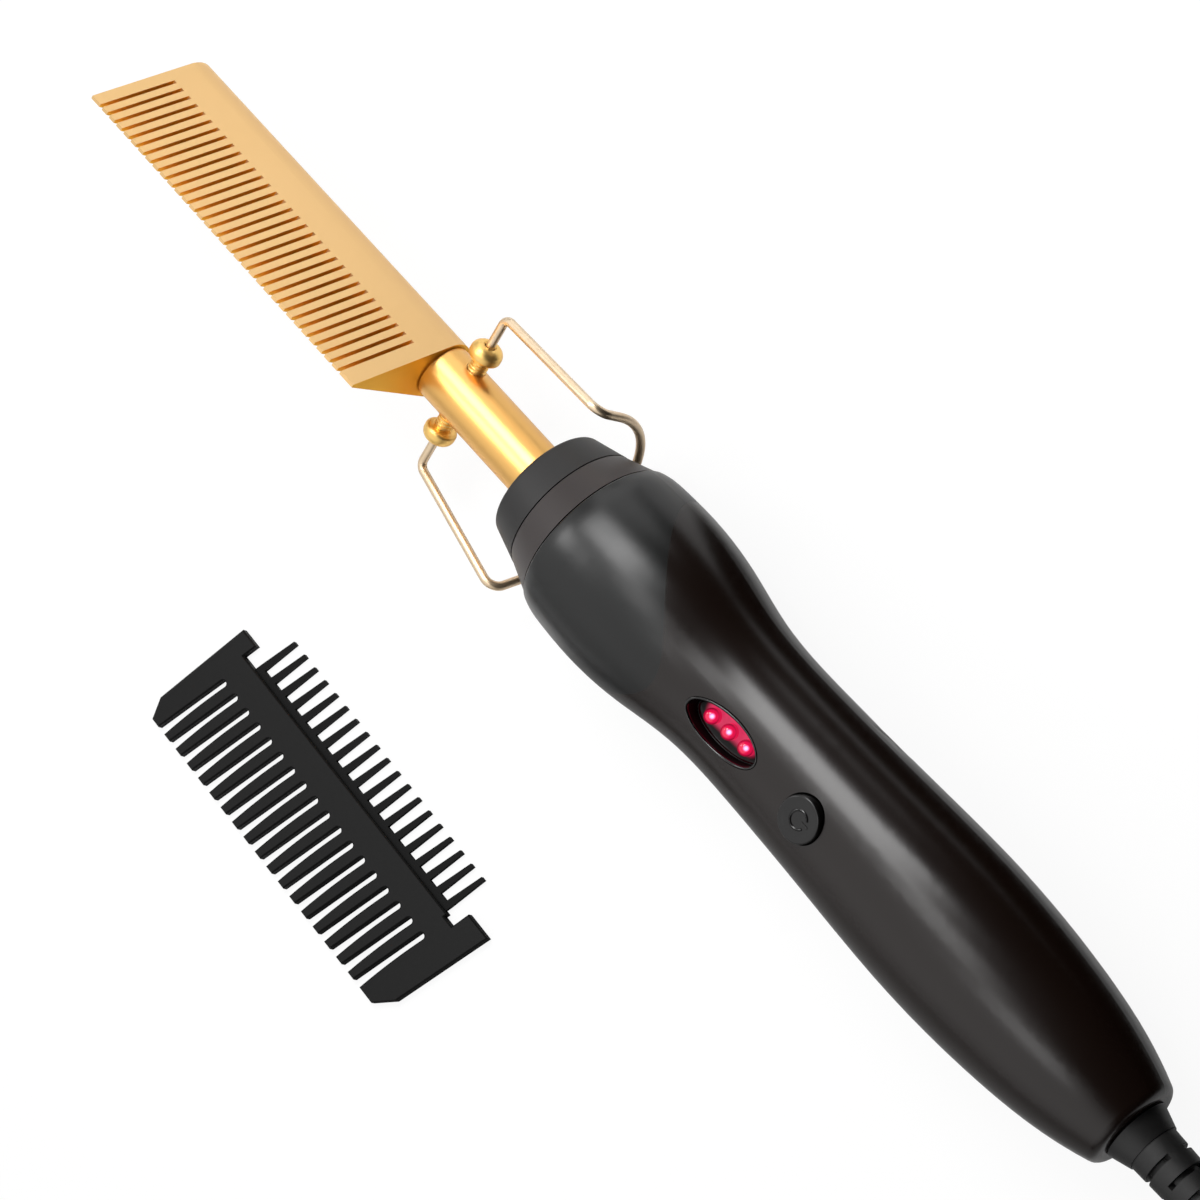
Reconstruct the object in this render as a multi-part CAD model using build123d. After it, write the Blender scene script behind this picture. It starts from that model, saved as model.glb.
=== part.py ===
from build123d import *
import os
from math import acos, atan2, cos, hypot, pi, radians, sin, sqrt, tan

# Electric hot comb lying on a table, with its wire stand folded back, its cord and a loose guard comb.
# Frame: +X runs from the comb head to the cord, +Z is up, the origin is on the barrel's axis
# at the stand's pivot. Lengths are millimetres.

# ---- resting pose ----
HEAD_ROLL = 25.0          # tooth plane leans from vertical until the wire foot nears the table
GRIP_ROLL = 16.4          # lean of the handle's control row

# ---- general clearances ----
FIT_CLEAR = 0.05          # fixed fits, per side
TURN_CLEAR = 0.08         # turning fits, per side
MOVE_CLEAR = 0.3          # open gap beside a moving piece

# ---- comb head ----
HEAD_L = 87.2
HEAD_TO_PIVOT = 6.6       # near end face to the pivot axis
SPINE_R = 6.8
TOOTH_EDGE_Z = 25.8       # tooth tips above the axis
TOOTH_TIP_T = 0.7
SLOT_PITCH = 2.482
SLOT_W = 0.85
SLOT_ROOT_Z = 7.8
SLOT_END_MARGIN = 4.44    # near end face to the last slot's centre
SLOT_FAR_MARGIN = 1.5     # far end face to the first slot's centre, at least
HEAD_EDGE_R = 0.45        # rounding of the far end face
SPIGOT_L = 11.6
HEATER_R = 2.6
HEATER_L = 66.0
HEATER_END_GAP = 4.0      # heater's near end to the head's near face

# ---- barrel ----
TUBE_R = 6.1
TUBE_WALL = 0.8
TUBE_GAP = 0.3            # open joint between the head and the tube
TUBE_IN_GRIP = 15.4       # length of tube inside the handle

# ---- collar ----
COLLAR_TO_PIVOT = 26.7
NOSE_L = 7.9
NOSE_FRONT_R = 12.7
NOSE_REAR_R = 14.9
RING_L = 7.1
RING_REAR_R = 17.5
GROOVE_W = 0.25
GROOVE_DEPTH = 2.2
RING_SPIGOT_R = 13.3
RING_SPIGOT_L = 5.0
NOSE_EDGE_R = 1.0

# ---- handle: AT from its front edge, BACK from its rear end ----
SHOULDER_AT = 1.9
CREST_AT = 6.4
BULGE_AT = 12.9
FLANK_AT = 26.4
NECK_AT = 38.9
WAIST_AT = 56.9
PALM_AT = 81.9
REAR_BACK = 50.1
HEEL_BACK = 27.1
TAPER_BACK = 12.6
GRIP_L = 155.0
FRONT_R = 17.85
SHOULDER_R = 18.45
CREST_R = 18.95
BULGE_R = 19.16
FLANK_R = 18.0
NECK_R = 15.65
WAIST_R = 15.0
PALM_R = 15.9
REAR_R = 16.65
HEEL_R = 15.4
TAPER_R = 13.2
END_R = 9.5               # before the end is rounded
END_ROUND = 2.3
FRONT_ROUND = 0.6
WALL = 2.2
WEB_T = 2.2
DISC_T = 3.0
CAVITY_AT = 14.9          # cavity starts
CAVITY_BACK = 14.1         # cavity ends

# ---- control row ----
WINDOW_AT = 51.4          # window's centre from the handle's front edge
WINDOW_Y = -0.64          # window's centre beside the row's plane
WINDOW_TURN = 4.5         # window and lamps turned on the surface
WINDOW_L = 18.9
WINDOW_W = 8.6
LENS_T = 0.6
LENS_SINK = 0.4           # lens below the handle's surface
LED_R = 1.6
LED_PITCH = 4.65
LED_COUNT = 3
BUTTON_AT = 74.6
BUTTON_R = 4.6
BUTTON_PROUD = 1.2
BUTTON_EDGE_R = 0.5
BUTTON_TRAVEL = 0.8
BUTTON_FLANGE_R = 5.7
BUTTON_FLANGE_T = 1.0
BOARD_Z = 3.4             # board's underside above the axis
BOARD_T = 1.6
BOARD_BACK = 47.1         # board ends, from the rear end
BOARD_W = 19.0
BOARD_AT = 37.9           # board starts
BOARD_SCREW_INSET = 5.0
SWITCH_W = 6.0

# ---- screws ----
SHELL_SCREW_R = 1.45
SHELL_SCREW_HEAD_R = 2.6
SHELL_SCREW_HEAD_H = 2.0
SHELL_SCREW_SEAT = 8.5    # head's seat below the seam
SHELL_SCREW_BITE = 6.0    # thread above the seam
BOSS_R = 3.2
FRONT_SCREW_AT = 24.9
MID_SCREW_BACK = 40.1
REAR_SCREW_BACK = 24.1
BOARD_SCREW_R = 1.0
BOARD_SCREW_HEAD_R = 1.9
BOARD_SCREW_HEAD_H = 1.3

# ---- pivot screws and wire stand ----
PIVOT_SCREW_R = 2.0
PIVOT_HEAD_R = 3.4
PIVOT_HEAD_T = 3.4
PIVOT_NECK = 2.9          # thread showing between the barrel and the head
PIVOT_INSIDE = 2.6        # thread inside the barrel's surface
WIRE_R = 0.93
WIRE_ENTER = 3.0
STAND_ARM_Y = 19.4        # bend beside the pivot
STAND_LEG_X = 30.9
STAND_LEG_Y = 23.4
STAND_LEG_Z = 4.7
STAND_FOOT_X = 32.5
STAND_FOOT_Y = 17.8
STAND_FOOT_Z = -16.6
STAND_FOOT_BEND = 19.4
STAND_ELBOW = 1.9
STAND_HEEL = 2.7

# ---- swivel and boot ----
GLAND_FLANGE_R = 7.0
GLAND_FLANGE_T = 2.0
GLAND_NECK_R = 4.9
GLAND_BASE_R = 6.85
GLAND_TOP_R = 5.45
GLAND_L = 4.5
END_WALL = 4.4            # handle wall round the swivel's neck
BOOT_R = 5.2
BOOT_END_R = 4.1
BOOT_L = 34.0
BOOT_SLOT_W = 1.1
BOOT_SLOT_PITCH = 4.2
BOOT_SLOT_COUNT = 7
BOOT_CORE_R = 3.6
CABLE_ANCHOR_R = 5.0
CABLE_ANCHOR_L = 3.4

# ---- cord, coil and plug ----
CORD_R = 2.9
LEAD_R = 0.6
LEAD_SPREAD = 1.6
TIE_T = 0.8
TIE_W = 9.0
COIL_TURNS_WIDE = 4
COIL_LAYERS = 2
COIL_INNER_R = 20.4
COIL_X = 320.0
COIL_Y = -50.0
COIL_IN_ANGLE = 35.0
COIL_OUT_ANGLE = 145.0
PLUG_L = 33.0
PLUG_W = 26.0
PLUG_H = 13.7
PLUG_NOSE_W = 35.0
PLUG_NOSE_L = 10.0
PLUG_TAIL_L = 14.0
PIN_R = 2.0
PIN_L = 19.0
PIN_BARE_L = 9.0
PIN_SHANK_R = 1.4
PIN_SLEEVE_R = 1.75
PIN_SPACING = 18.6
PIN_SEAT = 8.0

# ---- guard comb ----
GUARD_L = 84.9            # over the tabs
GUARD_W = 23.4            # fold to the wide teeth's tips
GUARD_T = 1.8
GUARD_SWEEP = 8.0         # teeth and ends lean back from square
GUARD_EDGE = 0.3          # chamfer of the upper edges
GUARD_TAB_OUT = 3.4
GUARD_TAB_W = 5.6
GUARD_NOTCH = 2.6
GUARD_NOTCH_DEEP = 0.8    # right-hand notch only
GUARD_END_TAPER = 0.8     # each end draws in towards the teeth
GUARD_ROWS_AT = -0.85     # middle of both rows and of the notches
WIDE_PITCH = 4.08
WIDE_END = 7.3            # end to the first slot's centre, at least
WIDE_ROOT = 6.3
WIDE_ROOT_W = 1.4
WIDE_MOUTH_W = 2.2
WIDE_BOW = 0.3            # teeth bow out on their left side
GUARD_CHAMFER = 4.2
FINE_PITCH = 3.6
FINE_T = 1.0
FINE_BAND = 1.4
FINE_TOOTH_L = 8.6
FINE_ROOT_W = 1.6
FINE_TIP_W = 0.95
GUARD_X = 33.45
GUARD_Y = -74.25
GUARD_YAW = -2.1

# ---- derived places ----
HEAD_X = -HEAD_TO_PIVOT
SLOT_COUNT = 1 + int((HEAD_L - SLOT_END_MARGIN - SLOT_FAR_MARGIN) / SLOT_PITCH)
GRIP_X = COLLAR_TO_PIVOT + NOSE_L + RING_L + 2 * GROOVE_W
GRIP_END = GRIP_X + GRIP_L
PIVOT_HEAD_Y = TUBE_R + PIVOT_NECK
COIL_OUTER_TURN = COIL_INNER_R + (2 * COIL_TURNS_WIDE - 1) * CORD_R
BOARD_X = GRIP_X + BOARD_AT
BOARD_L = GRIP_END - BOARD_BACK - BOARD_X
BOARD_TOP = BOARD_Z + BOARD_T
BOARD_SCREW_XS = [BOARD_X + BOARD_SCREW_INSET, BOARD_X + BOARD_L - BOARD_SCREW_INSET]
SHELL_SCREW_XS = [GRIP_X + FRONT_SCREW_AT, GRIP_END - MID_SCREW_BACK, GRIP_END - REAR_SCREW_BACK]
GLAND_X = GRIP_END + MOVE_CLEAR
BOOT_X = GLAND_X + GLAND_L
BOOT_END_X = BOOT_X + BOOT_L
ANCHOR_X = GRIP_END - END_WALL - GLAND_FLANGE_T - 3 * MOVE_CLEAR - WEB_T - CABLE_ANCHOR_L

HEAD_POSE = Rot(HEAD_ROLL, 0, 0)
GRIP_POSE = Rot(GRIP_ROLL, 0, 0)


# ---- helpers ----
def rod(x0, x1, r, y=0.0, z=0.0):
    """Cylinder along X from x0 to x1."""
    body = Cylinder(r, x1 - x0, align=(Align.CENTER, Align.CENTER, Align.MIN))
    return Pos(x0, y, z) * Rot(0, 90, 0) * body


def post(z0, z1, r, x, y=0.0):
    """Upright cylinder from z0 to z1."""
    return Pos(x, y, z0) * Cylinder(r, z1 - z0, align=(Align.CENTER, Align.CENTER, Align.MIN))


def slab(x0, x1):
    """Block that keeps what lies between two stations."""
    return Pos((x0 + x1) / 2, 0, 0) * Box(x1 - x0, 4 * BULGE_R, 4 * BULGE_R)


def turned(points):
    """Solid of revolution about X from (x, radius) corners."""
    ring = Polyline(*[(x, r, 0) for x, r in points], close=True)
    return revolve(make_face(ring), axis=Axis.X, revolution_arc=360)


def edges_at(shape, x, tol=0.02):
    return [e for e in shape.edges() if abs(e.bounding_box().min.X - x) < tol
            and abs(e.bounding_box().max.X - x) < tol]


def bent_rod(points, radii, r):
    """Round rod along straight runs joined by tangent arcs."""
    path = FilletPolyline(*points, radius=radii)
    section = Plane(origin=path @ 0, z_dir=path % 0) * Circle(r)
    return sweep(section, path=path)


# ---- comb head ----
def head_section():
    half = TOOTH_TIP_T / 2
    lean = atan2(TOOTH_EDGE_Z, half) - acos(SPINE_R / hypot(half, TOOTH_EDGE_Z))
    ty = SPINE_R * cos(lean)
    tz = SPINE_R * sin(lean)
    wedge = Polyline((ty, tz), (half, TOOTH_EDGE_Z), (-half, TOOTH_EDGE_Z), (-ty, tz), close=True)
    return Plane.YZ * (make_face(wedge) + Circle(SPINE_R))


def comb_head():
    block = Pos(HEAD_X - HEAD_L, 0, 0) * extrude(head_section(), amount=HEAD_L)
    block = fillet(edges_at(block, HEAD_X - HEAD_L), min(HEAD_EDGE_R, 0.4 * TOOTH_TIP_T))
    depth = TOOTH_EDGE_Z - SLOT_ROOT_Z + 1
    last = HEAD_X - SLOT_END_MARGIN
    cutter = Box(SLOT_W, 4 * SPINE_R, depth, align=(Align.CENTER, Align.CENTER, Align.MIN))
    cuts = [Pos(last - i * SLOT_PITCH, 0, SLOT_ROOT_Z) * cutter for i in range(SLOT_COUNT)]
    block = block - cuts
    spigot_r = TUBE_R - TUBE_WALL - FIT_CLEAR
    block = block + rod(HEAD_X - 1, HEAD_X + SPIGOT_L, spigot_r)
    bore_end = HEAD_X - HEATER_END_GAP - HEATER_L - MOVE_CLEAR
    block = block - rod(bore_end, HEAD_X + SPIGOT_L + 1, HEATER_R + TURN_CLEAR)
    return block - cross_bore(PIVOT_SCREW_R + FIT_CLEAR)


def cross_bore(r):
    """Bore through both barrel walls on the pivot axis."""
    return Rot(90, 0, 0) * Cylinder(r, 4 * TUBE_R)


def barrel_tube():
    start = HEAD_X + TUBE_GAP
    tube = rod(start, GRIP_X + TUBE_IN_GRIP, TUBE_R)
    tube = tube - rod(start - 1, GRIP_X + TUBE_IN_GRIP + 1, TUBE_R - TUBE_WALL)
    return tube - cross_bore(PIVOT_SCREW_R + FIT_CLEAR)


def heater():
    end = HEAD_X - HEATER_END_GAP
    return rod(end - HEATER_L, end, HEATER_R)


def heater_lead(side):
    y0 = side * LEAD_SPREAD
    y1 = side * (BOSS_R + 2 * LEAD_R)
    y2 = side * (BOSS_R + 3 * LEAD_R)
    start = (HEAD_X - HEATER_END_GAP, y0, 0)
    inside = (HEAD_X + SPIGOT_L + 10, y0, 0)
    out = (GRIP_X + TUBE_IN_GRIP + 4, y1, 0)
    under = (BOARD_X + 2, y2, BOARD_Z - LEAD_R)
    end = (BOARD_X + 12, y2, BOARD_Z - LEAD_R)
    return bent_rod([start, inside, out, under, end], [20, 12, 12], LEAD_R)


# ---- pivot screws and stand ----
def pivot_screw(side):
    head = Cylinder(PIVOT_HEAD_R, PIVOT_HEAD_T, align=(Align.CENTER, Align.CENTER, Align.MIN))
    head = fillet(head.edges(), PIVOT_HEAD_T * 0.42)
    shank_l = PIVOT_NECK + PIVOT_INSIDE + 0.4
    shank = Cylinder(PIVOT_SCREW_R, shank_l, align=(Align.CENTER, Align.CENTER, Align.MAX))
    hole = Cylinder(WIRE_R + TURN_CLEAR, WIRE_ENTER, align=(Align.CENTER, Align.CENTER, Align.MAX))
    screw = head + Pos(0, 0, 0.4) * shank - Pos(0, 0, PIVOT_HEAD_T) * hole
    return Rot(-90 * side, 0, 0) * Pos(0, 0, PIVOT_HEAD_Y) * screw


def stand_wire():
    tip_y = PIVOT_HEAD_Y + PIVOT_HEAD_T - WIRE_ENTER + MOVE_CLEAR
    half = [(0, tip_y, 0), (0, STAND_ARM_Y, 0), (STAND_LEG_X, STAND_LEG_Y, STAND_LEG_Z),
            (STAND_FOOT_X, STAND_FOOT_Y, STAND_FOOT_Z)]
    mirrored = [(x, -y, z) for x, y, z in reversed(half)]
    bends = [STAND_ELBOW, STAND_HEEL, STAND_FOOT_BEND]
    return bent_rod(half + mirrored, bends + bends[::-1], WIRE_R)


# ---- collar ----
def nose_ring():
    x0 = COLLAR_TO_PIVOT
    x1 = x0 + NOSE_L
    bore = TUBE_R + FIT_CLEAR
    hub = NOSE_REAR_R - GROOVE_DEPTH
    ring = turned([(x0, bore), (x0, NOSE_FRONT_R), (x1, NOSE_REAR_R), (x1, hub),
                   (x1 + GROOVE_W, hub), (x1 + GROOVE_W, bore)])
    front = [e for e in edges_at(ring, x0) if e.bounding_box().max.Y > NOSE_FRONT_R - 0.1]
    return fillet(front, NOSE_EDGE_R)


def collar_ring():
    x0 = COLLAR_TO_PIVOT + NOSE_L + GROOVE_W
    x1 = x0 + RING_L
    bore = TUBE_R + FIT_CLEAR
    hub = RING_REAR_R - GROOVE_DEPTH
    return turned([(x0, bore), (x0, NOSE_REAR_R), (x1, RING_REAR_R), (x1, hub), (GRIP_X, hub),
                   (GRIP_X, RING_SPIGOT_R), (GRIP_X + RING_SPIGOT_L, RING_SPIGOT_R),
                   (GRIP_X + RING_SPIGOT_L, bore)])


def insulator_disc():
    x0 = GRIP_X + RING_SPIGOT_L + FIT_CLEAR
    disc = rod(x0, x0 + DISC_T, RING_SPIGOT_R)
    return disc - rod(x0 - 1, x0 + DISC_T + 1, TUBE_R + FIT_CLEAR)


# ---- handle shells ----
def grip_form(inset):
    """Handle's body of revolution, drawn in by a wall thickness."""
    stations = [(0, FRONT_R), (SHOULDER_AT, SHOULDER_R), (CREST_AT, CREST_R), (BULGE_AT, BULGE_R),
                (FLANK_AT, FLANK_R), (NECK_AT, NECK_R), (WAIST_AT, WAIST_R), (PALM_AT, PALM_R),
                (GRIP_L - REAR_BACK, REAR_R), (GRIP_L - HEEL_BACK, HEEL_R),
                (GRIP_L - TAPER_BACK, TAPER_R), (GRIP_L, END_R)]
    pts = [(GRIP_X + at, r - inset, 0) for at, r in stations]
    curve = Spline(*pts)
    back = Polyline(pts[-1], (GRIP_X + GRIP_L, 0, 0), (GRIP_X, 0, 0), pts[0])
    form = revolve(make_face([curve, back]), axis=Axis.X, revolution_arc=360)
    form = fillet(edges_at(form, GRIP_END), END_ROUND)
    return fillet(edges_at(form, GRIP_X), FRONT_ROUND)


# ---- table level, from the handle's widest radius ----
TABLE_Z = -grip_form(0).bounding_box().max.Y
CORD_LIE_Z = TABLE_Z + TIE_T + CORD_R


def surface_z(at, y=0.0):
    """Height of the handle's surface above the axis at a station."""
    spans = [(NECK_AT, NECK_R), (WAIST_AT, WAIST_R), (PALM_AT, PALM_R)]
    for (a0, r0), (a1, r1) in zip(spans, spans[1:]):
        if a0 <= at <= a1:
            r = r0 + (r1 - r0) * (at - a0) / (a1 - a0)
    return sqrt(r * r - y * y)


def window_prism(play, z0, z1):
    """Upright oval prism of the window, drawn in by a clearance."""
    oval = Ellipse(WINDOW_L / 2 - play, WINDOW_W / 2 - play)
    return Pos(GRIP_X + WINDOW_AT, WINDOW_Y, z0) * Rot(0, 0, WINDOW_TURN) * extrude(oval, amount=z1 - z0)


def grip_body():
    form = grip_form(0)
    cavity = grip_form(WALL) & slab(GRIP_X + CAVITY_AT, GRIP_END - CAVITY_BACK)
    front_bore_end = GRIP_X + RING_SPIGOT_L + FIT_CLEAR + DISC_T + FIT_CLEAR
    body = form - cavity
    body = body - rod(GRIP_X - 1, front_bore_end, RING_SPIGOT_R + FIT_CLEAR)
    body = body - rod(GRIP_X, GRIP_X + CAVITY_AT + 1, TUBE_R + FIT_CLEAR)
    flange_end = GRIP_END - END_WALL
    flange_start = flange_end - GLAND_FLANGE_T - 2 * MOVE_CLEAR
    body = body - rod(flange_start, flange_end, GLAND_FLANGE_R + MOVE_CLEAR)
    body = body - rod(flange_start, GRIP_END + 1, GLAND_NECK_R + TURN_CLEAR)
    body = body - rod(ANCHOR_X, ANCHOR_X + CABLE_ANCHOR_L + FIT_CLEAR, CABLE_ANCHOR_R + FIT_CLEAR)
    return body - rod(GRIP_END - CAVITY_BACK - 1, flange_start + 1, CORD_R + FIT_CLEAR)


def half_space(sign):
    reach = 2 * BULGE_R
    return Pos(0, 0, sign * reach) * Box(4 * GRIP_END, 2 * reach, 2 * reach)


def grip_upper():
    shell = grip_body() & half_space(1)
    form = grip_form(WALL / 2)
    for x in SHELL_SCREW_XS:
        boss = post(0, BULGE_R, BOSS_R, x) & form
        shell = shell + boss
        shell = shell - post(-1, SHELL_SCREW_BITE + 0.5, SHELL_SCREW_R + FIT_CLEAR, x)
    shell = shell - window_prism(0, BOARD_TOP + 1, 2 * BULGE_R)
    return shell - post(BOARD_TOP + 1, 2 * BULGE_R, BUTTON_R + MOVE_CLEAR, GRIP_X + BUTTON_AT)


def grip_lower():
    shell = grip_body() & half_space(-1)
    form = grip_form(WALL / 2)
    for x in SHELL_SCREW_XS:
        boss = post(-BULGE_R, 0, BOSS_R + WALL / 2, x) & form
        shell = shell + boss
    for x in SHELL_SCREW_XS:
        shell = shell - post(-BULGE_R, 1, SHELL_SCREW_R + FIT_CLEAR, x)
        shell = shell - post(-BULGE_R - 1, -SHELL_SCREW_SEAT, SHELL_SCREW_HEAD_R + FIT_CLEAR, x)
    for x in BOARD_SCREW_XS:
        column = post(-BULGE_R, BOARD_Z, 2.4 * BOARD_SCREW_R, x) & form
        shell = shell + column
        shell = shell - post(BOARD_Z - 6, BOARD_Z + 1, BOARD_SCREW_R + FIT_CLEAR, x)
    return shell


def shell_screw(x):
    seat = -SHELL_SCREW_SEAT
    screw = post(seat, SHELL_SCREW_BITE, SHELL_SCREW_R, x)
    return screw + post(seat - SHELL_SCREW_HEAD_H, seat, SHELL_SCREW_HEAD_R, x)


# ---- control row ----
def circuit_board():
    board = Pos(BOARD_X + BOARD_L / 2, 0, BOARD_Z + BOARD_T / 2) * Box(BOARD_L, BOARD_W, BOARD_T)
    for x in BOARD_SCREW_XS:
        board = board - post(BOARD_Z - 1, BOARD_TOP + 1, BOARD_SCREW_R + FIT_CLEAR, x)
    return board


def board_screw(x):
    screw = post(BOARD_Z - 5, BOARD_TOP, BOARD_SCREW_R, x)
    return screw + post(BOARD_TOP, BOARD_TOP + BOARD_SCREW_HEAD_H, BOARD_SCREW_HEAD_R, x)


def window_lens():
    skin = grip_form(LENS_SINK) - grip_form(LENS_SINK + LENS_T)
    return skin & window_prism(FIT_CLEAR, BOARD_TOP + 1, 2 * BULGE_R)


def led(i):
    step = (i - (LED_COUNT - 1) / 2) * LED_PITCH
    top = surface_z(WINDOW_AT) - LENS_SINK - LENS_T - MOVE_CLEAR
    lamp = post(BOARD_TOP, top - LED_R, LED_R, 0) + Pos(0, 0, top - LED_R) * Sphere(LED_R)
    return Pos(GRIP_X + WINDOW_AT, WINDOW_Y, 0) * Rot(0, 0, WINDOW_TURN) * Pos(step, 0, 0) * lamp


def button_flange_top():
    inner = surface_z(BUTTON_AT) - WALL
    return sqrt(inner * inner - BUTTON_FLANGE_R * BUTTON_FLANGE_R) - MOVE_CLEAR


def power_button():
    x = GRIP_X + BUTTON_AT
    flange_top = button_flange_top()
    top = surface_z(BUTTON_AT) + BUTTON_PROUD
    cap = post(flange_top - BUTTON_FLANGE_T, top, BUTTON_R, x)
    cap = fillet(cap.edges().group_by(Axis.Z)[-1], min(BUTTON_EDGE_R, 0.9 * BUTTON_PROUD))
    return cap + post(flange_top - BUTTON_FLANGE_T, flange_top, BUTTON_FLANGE_R, x)


def tact_switch():
    top = button_flange_top() - BUTTON_FLANGE_T - BUTTON_TRAVEL - MOVE_CLEAR
    height = top - BOARD_TOP
    x = GRIP_X + BUTTON_AT
    body = Pos(x, 0, BOARD_TOP + height / 4) * Box(SWITCH_W, SWITCH_W, height / 2)
    return body + post(BOARD_TOP, top, SWITCH_W * 0.29, x)


# ---- swivel, boot and cord anchor ----
def swivel_gland():
    flange_end = GRIP_END - END_WALL - MOVE_CLEAR
    flange_start = flange_end - GLAND_FLANGE_T
    bore = CORD_R + TURN_CLEAR
    return turned([(flange_start, bore), (flange_start, GLAND_FLANGE_R), (flange_end, GLAND_FLANGE_R),
                   (flange_end, GLAND_NECK_R), (GLAND_X, GLAND_NECK_R), (GLAND_X, GLAND_BASE_R),
                   (BOOT_X, GLAND_TOP_R), (BOOT_X, bore)])


def strain_boot():
    bore = CORD_R + TURN_CLEAR
    boot = turned([(BOOT_X, bore), (BOOT_X, BOOT_R), (BOOT_END_X, BOOT_END_R), (BOOT_END_X, bore)])
    keep = rod(BOOT_X, BOOT_END_X, BOOT_CORE_R)
    for i in range(BOOT_SLOT_COUNT):
        x = BOOT_X + (i + 0.95) * BOOT_SLOT_PITCH
        bridge = Rot(45 + 90 * (i % 2), 0, 0) * Box(BOOT_SLOT_W, 3 * BOOT_R, 0.7 * BOOT_R)
        ring = rod(x - BOOT_SLOT_W / 2, x + BOOT_SLOT_W / 2, 2 * BOOT_R) - keep
        boot = boot - (ring - Pos(x, 0, 0) * bridge)
    return boot


def cable_anchor():
    ring = rod(ANCHOR_X, ANCHOR_X + CABLE_ANCHOR_L, CABLE_ANCHOR_R)
    return ring - rod(ANCHOR_X - 1, ANCHOR_X + CABLE_ANCHOR_L + 1, CORD_R)


def mains_lead(side):
    x0 = BOARD_X + BOARD_L - 12
    z0 = BOARD_Z - LEAD_R
    y0 = side * (BOSS_R + 3 * LEAD_R)
    y1 = side * (BOSS_R + WALL / 2 + 2 * LEAD_R)
    y2 = side * LEAD_SPREAD
    rear = GRIP_END - REAR_SCREW_BACK + BOSS_R + 3
    points = [(x0, y0, z0), (x0 + 13, y1, z0), (rear, y1, 0), (ANCHOR_X - 3, y2, 0), (ANCHOR_X, y2, 0)]
    return bent_rod(points, [12, 6, 1.2], LEAD_R)


# ---- cord, coil and plug ----
def coil_point(angle, z):
    """Point and clockwise heading on the coil's outer turn, the angle counted from +Y."""
    a = radians(angle)
    place = Vector(COIL_X + COIL_OUTER_TURN * sin(a), COIL_Y + COIL_OUTER_TURN * cos(a), z)
    return place, Vector(cos(a), -sin(a), 0)


def corner_radii(points):
    """Arc radius at each corner: 0.45 of the shorter run over the tangent of half the turn."""
    radii = []
    for a, b, c in zip(points, points[1:], points[2:]):
        turn = radians((b - a).get_angle(c - b))
        radii.append(0.45 * min((b - a).length, (c - b).length) / tan(turn / 2))
    return radii


def cord_tube(points, name):
    radii = corner_radii(points)
    path = FilletPolyline(*points, radius=radii)
    tube = sweep(Plane(origin=path @ 0, z_dir=path % 0) * Circle(CORD_R), path=path)
    expected = pi * CORD_R ** 2 * path.length
    print(name, "radii", [round(r, 1) for r in radii], "length", round(path.length, 1),
          "volume ratio", round(tube.volume / expected, 4))
    return tube


def cord_lead():
    join, heading = coil_point(COIL_IN_ANGLE, CORD_LIE_Z)
    points = [Vector(ANCHOR_X, 0, 0), Vector(BOOT_END_X + 20, 0, 0),
              Vector(BOOT_END_X + 53, 4, CORD_LIE_Z), join - heading * 30, join]
    return cord_tube(points, "cord_lead")


def tail_points():
    z_top = TABLE_Z + TIE_T + 3 * CORD_R
    z_plug = TABLE_Z + PLUG_H / 2
    leave, heading = coil_point(COIL_OUT_ANGLE, z_top)
    bend = leave + heading * 32 + Vector(0, 0, (z_plug - z_top) / 2)
    end = bend + Vector(-27, -12, (z_plug - z_top) / 2)
    return [leave, bend, end, end + Vector(-24, 0, 0)]


def cord_tail():
    return cord_tube(tail_points(), "cord_tail")


def cord_coil():
    width = 2 * COIL_TURNS_WIDE * CORD_R
    height = 2 * COIL_LAYERS * CORD_R
    ring = Pos(COIL_INNER_R + width / 2, height / 2) * RectangleRounded(width, height, CORD_R * 0.9)
    coil = revolve(Plane.XZ * ring, axis=Axis.Z, revolution_arc=360)
    return Pos(COIL_X, COIL_Y, TABLE_Z + TIE_T) * coil


def coil_tie():
    width = 2 * COIL_TURNS_WIDE * CORD_R
    height = 2 * COIL_LAYERS * CORD_R
    play = 2 * FIT_CLEAR
    outer = Box(width + 2 * TIE_T + play, TIE_W, height + 2 * TIE_T)
    inner = Box(width + play, TIE_W + 2, height)
    band = outer - inner
    mid = COIL_INNER_R + width / 2
    z = TABLE_Z + TIE_T + height / 2
    return Pos(COIL_X, COIL_Y, z) * Rot(0, 0, 180) * Pos(mid, 0, 0) * band - cord_coil()


def plug_body():
    end = tail_points()[-1]
    tail = Plane(origin=(end.X, end.Y, end.Z), x_dir=(0, 1, 0), z_dir=(-1, 0, 0))
    neck = extrude(tail * Circle(1.8 * CORD_R), amount=PLUG_TAIL_L + 1)
    main = tail.offset(PLUG_TAIL_L) * RectangleRounded(PLUG_W, PLUG_H, 4)
    body = extrude(main, amount=PLUG_L - PLUG_TAIL_L)
    nose = tail.offset(PLUG_L - PLUG_NOSE_L) * RectangleRounded(PLUG_NOSE_W, PLUG_H, 5)
    plug = neck + body + extrude(nose, amount=PLUG_NOSE_L)
    for side in (-1, 1):
        plug = plug + pin_rod(side, PIN_BARE_L - PIN_L + FIT_CLEAR, 1, PIN_SLEEVE_R)
        plug = plug - pin_rod(side, -PIN_L, PIN_SEAT + FIT_CLEAR, PIN_SHANK_R + FIT_CLEAR)
    return plug


def pin_rod(side, x0, x1, r):
    """Cylinder on a pin's axis between two distances behind the plug's face."""
    end = tail_points()[-1]
    face = end.X - PLUG_L
    return rod(face + x0, face + x1, r, end.Y + side * PIN_SPACING / 2, end.Z)


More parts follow.
